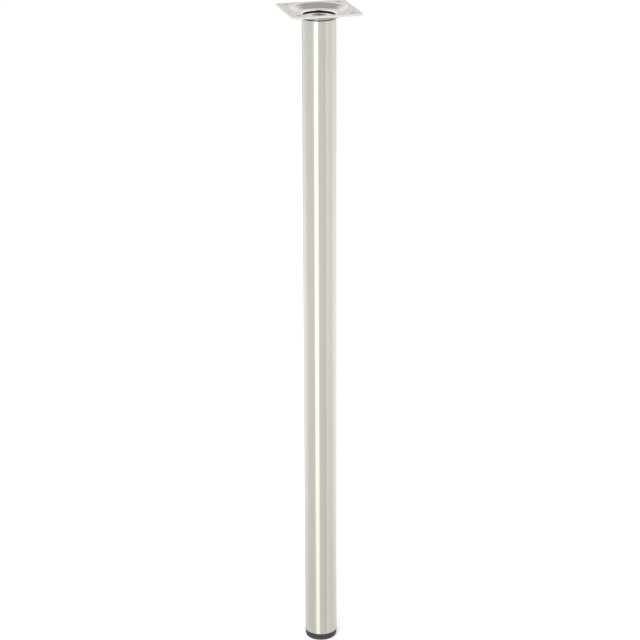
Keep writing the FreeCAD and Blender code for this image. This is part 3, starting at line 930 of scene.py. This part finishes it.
def studio_world(settings):
    """White round the leg for the camera, even light for matt surfaces, and for mirrored rays a studio:
    pale below the horizon with strips at the leg's sides and one tall bright window left of the camera,
    and above it a pale backdrop behind the leg, a dim ceiling, a light box on either side and darkness
    round the camera. The boxes begin where a ray's part to the side, plus a share of its part towards
    the camera, passes their edge."""
    world = bpy.data.worlds.new("studio")
    bpy.context.scene.world = world
    world.use_nodes = True
    tree = world.node_tree
    tree.nodes.clear()
    way = add_node(tree, "ShaderNodeTexCoord").outputs["Generated"]
    turn = settings.view_turn
    ahead = calc_vector(tree, "DOT_PRODUCT", way, (math.sin(turn), -math.cos(turn), 0.0))
    aside = calc_vector(tree, "DOT_PRODUCT", way, (math.cos(turn), math.sin(turn), 0.0))
    angle = calc(tree, "ARCTAN2", aside, ahead)
    around = spread_range(tree, angle, -math.pi, math.pi, 0.0, 1.0)
    rise = spread_range(tree, axes_of(tree, way)["Z"], -1.0, 1.0, 0.0, 1.0)
    low = 0.0
    for turns, rises in ((BANDS, BANDS_RISE), (STRIPS, STRIPS_RISE), (WINDOW, WINDOW_RISE)):
        low = calc(tree, "MULTIPLY_ADD", by_turn(tree, around, turns), by_rise(tree, rise, rises), low)
    depth = spread_range(tree, ahead, -1.0, 1.0, 0.0, 1.0)
    backdrop = levels(tree, depth, [((place + 1) / 2, level) for place, level in BACKDROP])
    reach = calc(tree, "MULTIPLY_ADD", ahead, BOX_LEAN, calc(tree, "ABSOLUTE", aside))
    boxes = by_rise(tree, rise, (BOX_LOW, (BOX_FULL_RISE, settings.light_boxes)))
    high = mixed(tree, fade(tree, reach, BOX_EDGE), backdrop, boxes)
    mirrored = mixed(tree, by_rise(tree, rise, HORIZON), low, high)
    ray = add_node(tree, "ShaderNodeLightPath").outputs
    lit = mixed(tree, ray["Is Glossy Ray"], settings.ambient, mirrored)
    seen = mixed(tree, ray["Is Camera Ray"], lit, 1.0)
    light = add_node(tree, "ShaderNodeBackground", {"Color": seen, "Strength": 1.0})
    add_node(tree, "ShaderNodeOutputWorld", {"Surface": light.outputs["Background"]})


def floor_finish(settings):
    """A matt pale floor with a faint mottle, lifted towards white for the camera alone."""
    material, tree, place = blank_material("pale_floor")
    colours = settings.finish
    mottle = grain(tree, place, (3.0, 3.0, 3.0), 2.0)
    colour = two_tone(tree, mottle, 0.3, 0.7, colours.floor_dark, colours.floor_light)
    matt = add_node(tree, "ShaderNodeBsdfDiffuse", {"Color": colour})
    ray = add_node(tree, "ShaderNodeLightPath").outputs["Is Camera Ray"]
    lift = calc(tree, "MULTIPLY", ray, settings.stage.floor_lift)
    glow = add_node(tree, "ShaderNodeEmission", {"Color": (1.0, 1.0, 1.0, 1.0), "Strength": lift})
    both = add_node(tree, "ShaderNodeAddShader", {0: matt.outputs[0], 1: glow.outputs[0]})
    add_node(tree, "ShaderNodeOutputMaterial", {"Surface": both.outputs[0]})
    return material


def pale_floor(settings):
    """A wide round floor about the leg's axis, as rings whose radius grows with the square of their
    number."""
    radius = settings.stage.floor_size * np.linspace(0, 1, FLOOR_RINGS + 1)[1:, None] ** 2
    points, faces = sheet(rings(radius, 0.0), close_columns=True)
    points = np.concatenate([points, [[0.0, 0.0, 0.0]]])
    last = len(points) - 1
    hub = [(k, (k + 1) % ROUND, last) for k in range(ROUND)]
    mesh = bpy.data.meshes.new("floor")
    mesh.from_pydata(points.tolist(), [], faces[:, ::-1].tolist() + hub)
    mesh.update()
    made = bpy.data.objects.new("floor", mesh)
    bpy.context.scene.collection.objects.link(made)
    mesh.materials.append(floor_finish(settings))
    made.visible_glossy = False


def soft_lamp(name, place, aim, size, power):
    """A square lamp that faces a point."""
    lamp = bpy.data.lights.new(name, "AREA")
    lamp.shape = "SQUARE"
    lamp.size = size
    lamp.energy = power
    made = bpy.data.objects.new(name, lamp)
    bpy.context.scene.collection.objects.link(made)
    made.location = place
    towards = np.array(aim) - np.array(place)
    across = np.cross(towards, (0.0, 0.0, 1.0))
    upright = np.cross(across, towards)
    axes = np.stack([v / np.linalg.norm(v) for v in (across, upright, -towards)], axis=1)
    made.rotation_euler = Matrix(axes.tolist()).to_euler()
    made.visible_glossy = False


def set_view(settings):
    """A camera that stands, looks and leans as the photograph's did."""
    view = bpy.data.cameras.new("view")
    view.sensor_width = SENSOR_WIDTH
    view.lens = settings.view_lens
    view.clip_end = VIEW_END
    made = bpy.data.objects.new("view", view)
    bpy.context.scene.collection.objects.link(made)
    turn, tilt, roll = settings.view_turn, settings.view_tilt, settings.view_roll
    ahead = np.array([0.0, math.cos(tilt), -math.sin(tilt)])
    upright = np.array([0.0, math.sin(tilt), math.cos(tilt)])
    right = math.cos(roll) * np.array([1.0, 0.0, 0.0]) + math.sin(roll) * upright
    axes = np.stack([right, np.cross(right, ahead), -ahead], axis=1)
    made.rotation_euler = (Matrix.Rotation(turn, 3, "Z") @ Matrix(axes.tolist())).to_euler()
    reach = settings.view_distance
    made.location = (reach * math.sin(turn), -reach * math.cos(turn), settings.view_height)
    bpy.context.scene.camera = made


class TABLELEG_OT_stage(Operator):
    """Set the floor, the studio light and the camera"""
    bl_idname = "table_leg.stage"
    bl_label = "Stage"

    def execute(self, context):
        settings = context.scene.table_leg
        context.scene.view_settings.view_transform = "Standard"
        studio_world(settings.stage)
        pale_floor(settings)
        soft_lamp("key_light", KEY_PLACE, KEY_AIM, KEY_SIZE, settings.stage.key_power)
        set_view(settings.stage)
        return {"FINISHED"}


STEPS = (TABLELEG_OT_tube, TABLELEG_OT_plate, TABLELEG_OT_disc, TABLELEG_OT_bolt, TABLELEG_OT_plug,
         TABLELEG_OT_nut, TABLELEG_OT_stud, TABLELEG_OT_foot, TABLELEG_OT_stage)


class TABLELEG_PT_panel(Panel):
    """Lists the steps that build the leg"""
    bl_idname = "TABLELEG_PT_panel"
    bl_label = "Table leg"
    bl_space_type = "VIEW_3D"
    bl_region_type = "UI"
    bl_category = "Table leg"

    def draw(self, context):
        settings = context.scene.table_leg
        for step in STEPS:
            self.layout.operator(step.bl_idname)
        for name in LegSettings.__annotations__:
            box = self.layout.box()
            box.label(text=name.capitalize())
            group = getattr(settings, name)
            for key in type(group).__annotations__:
                box.prop(group, key)


CLASSES = (TubeSizes, PlateSizes, FastenerSizes, PlugSizes, FootSizes, Finishes, StageSettings,
           LegSettings, *STEPS, TABLELEG_PT_panel)


def register():
    for item in CLASSES:
        bpy.utils.register_class(item)
    bpy.types.Scene.table_leg = PointerProperty(type=LegSettings)


def unregister():
    del bpy.types.Scene.table_leg
    for item in reversed(CLASSES):
        bpy.utils.unregister_class(item)


def main():
    register()
    bpy.ops.table_leg.tube()
    bpy.ops.table_leg.plate()
    bpy.ops.table_leg.disc()
    bpy.ops.table_leg.bolt()
    bpy.ops.table_leg.plug()
    bpy.ops.table_leg.nut()
    bpy.ops.table_leg.stud()
    bpy.ops.table_leg.foot()
    bpy.ops.table_leg.stage()


if __name__ == "__main__":
    main()
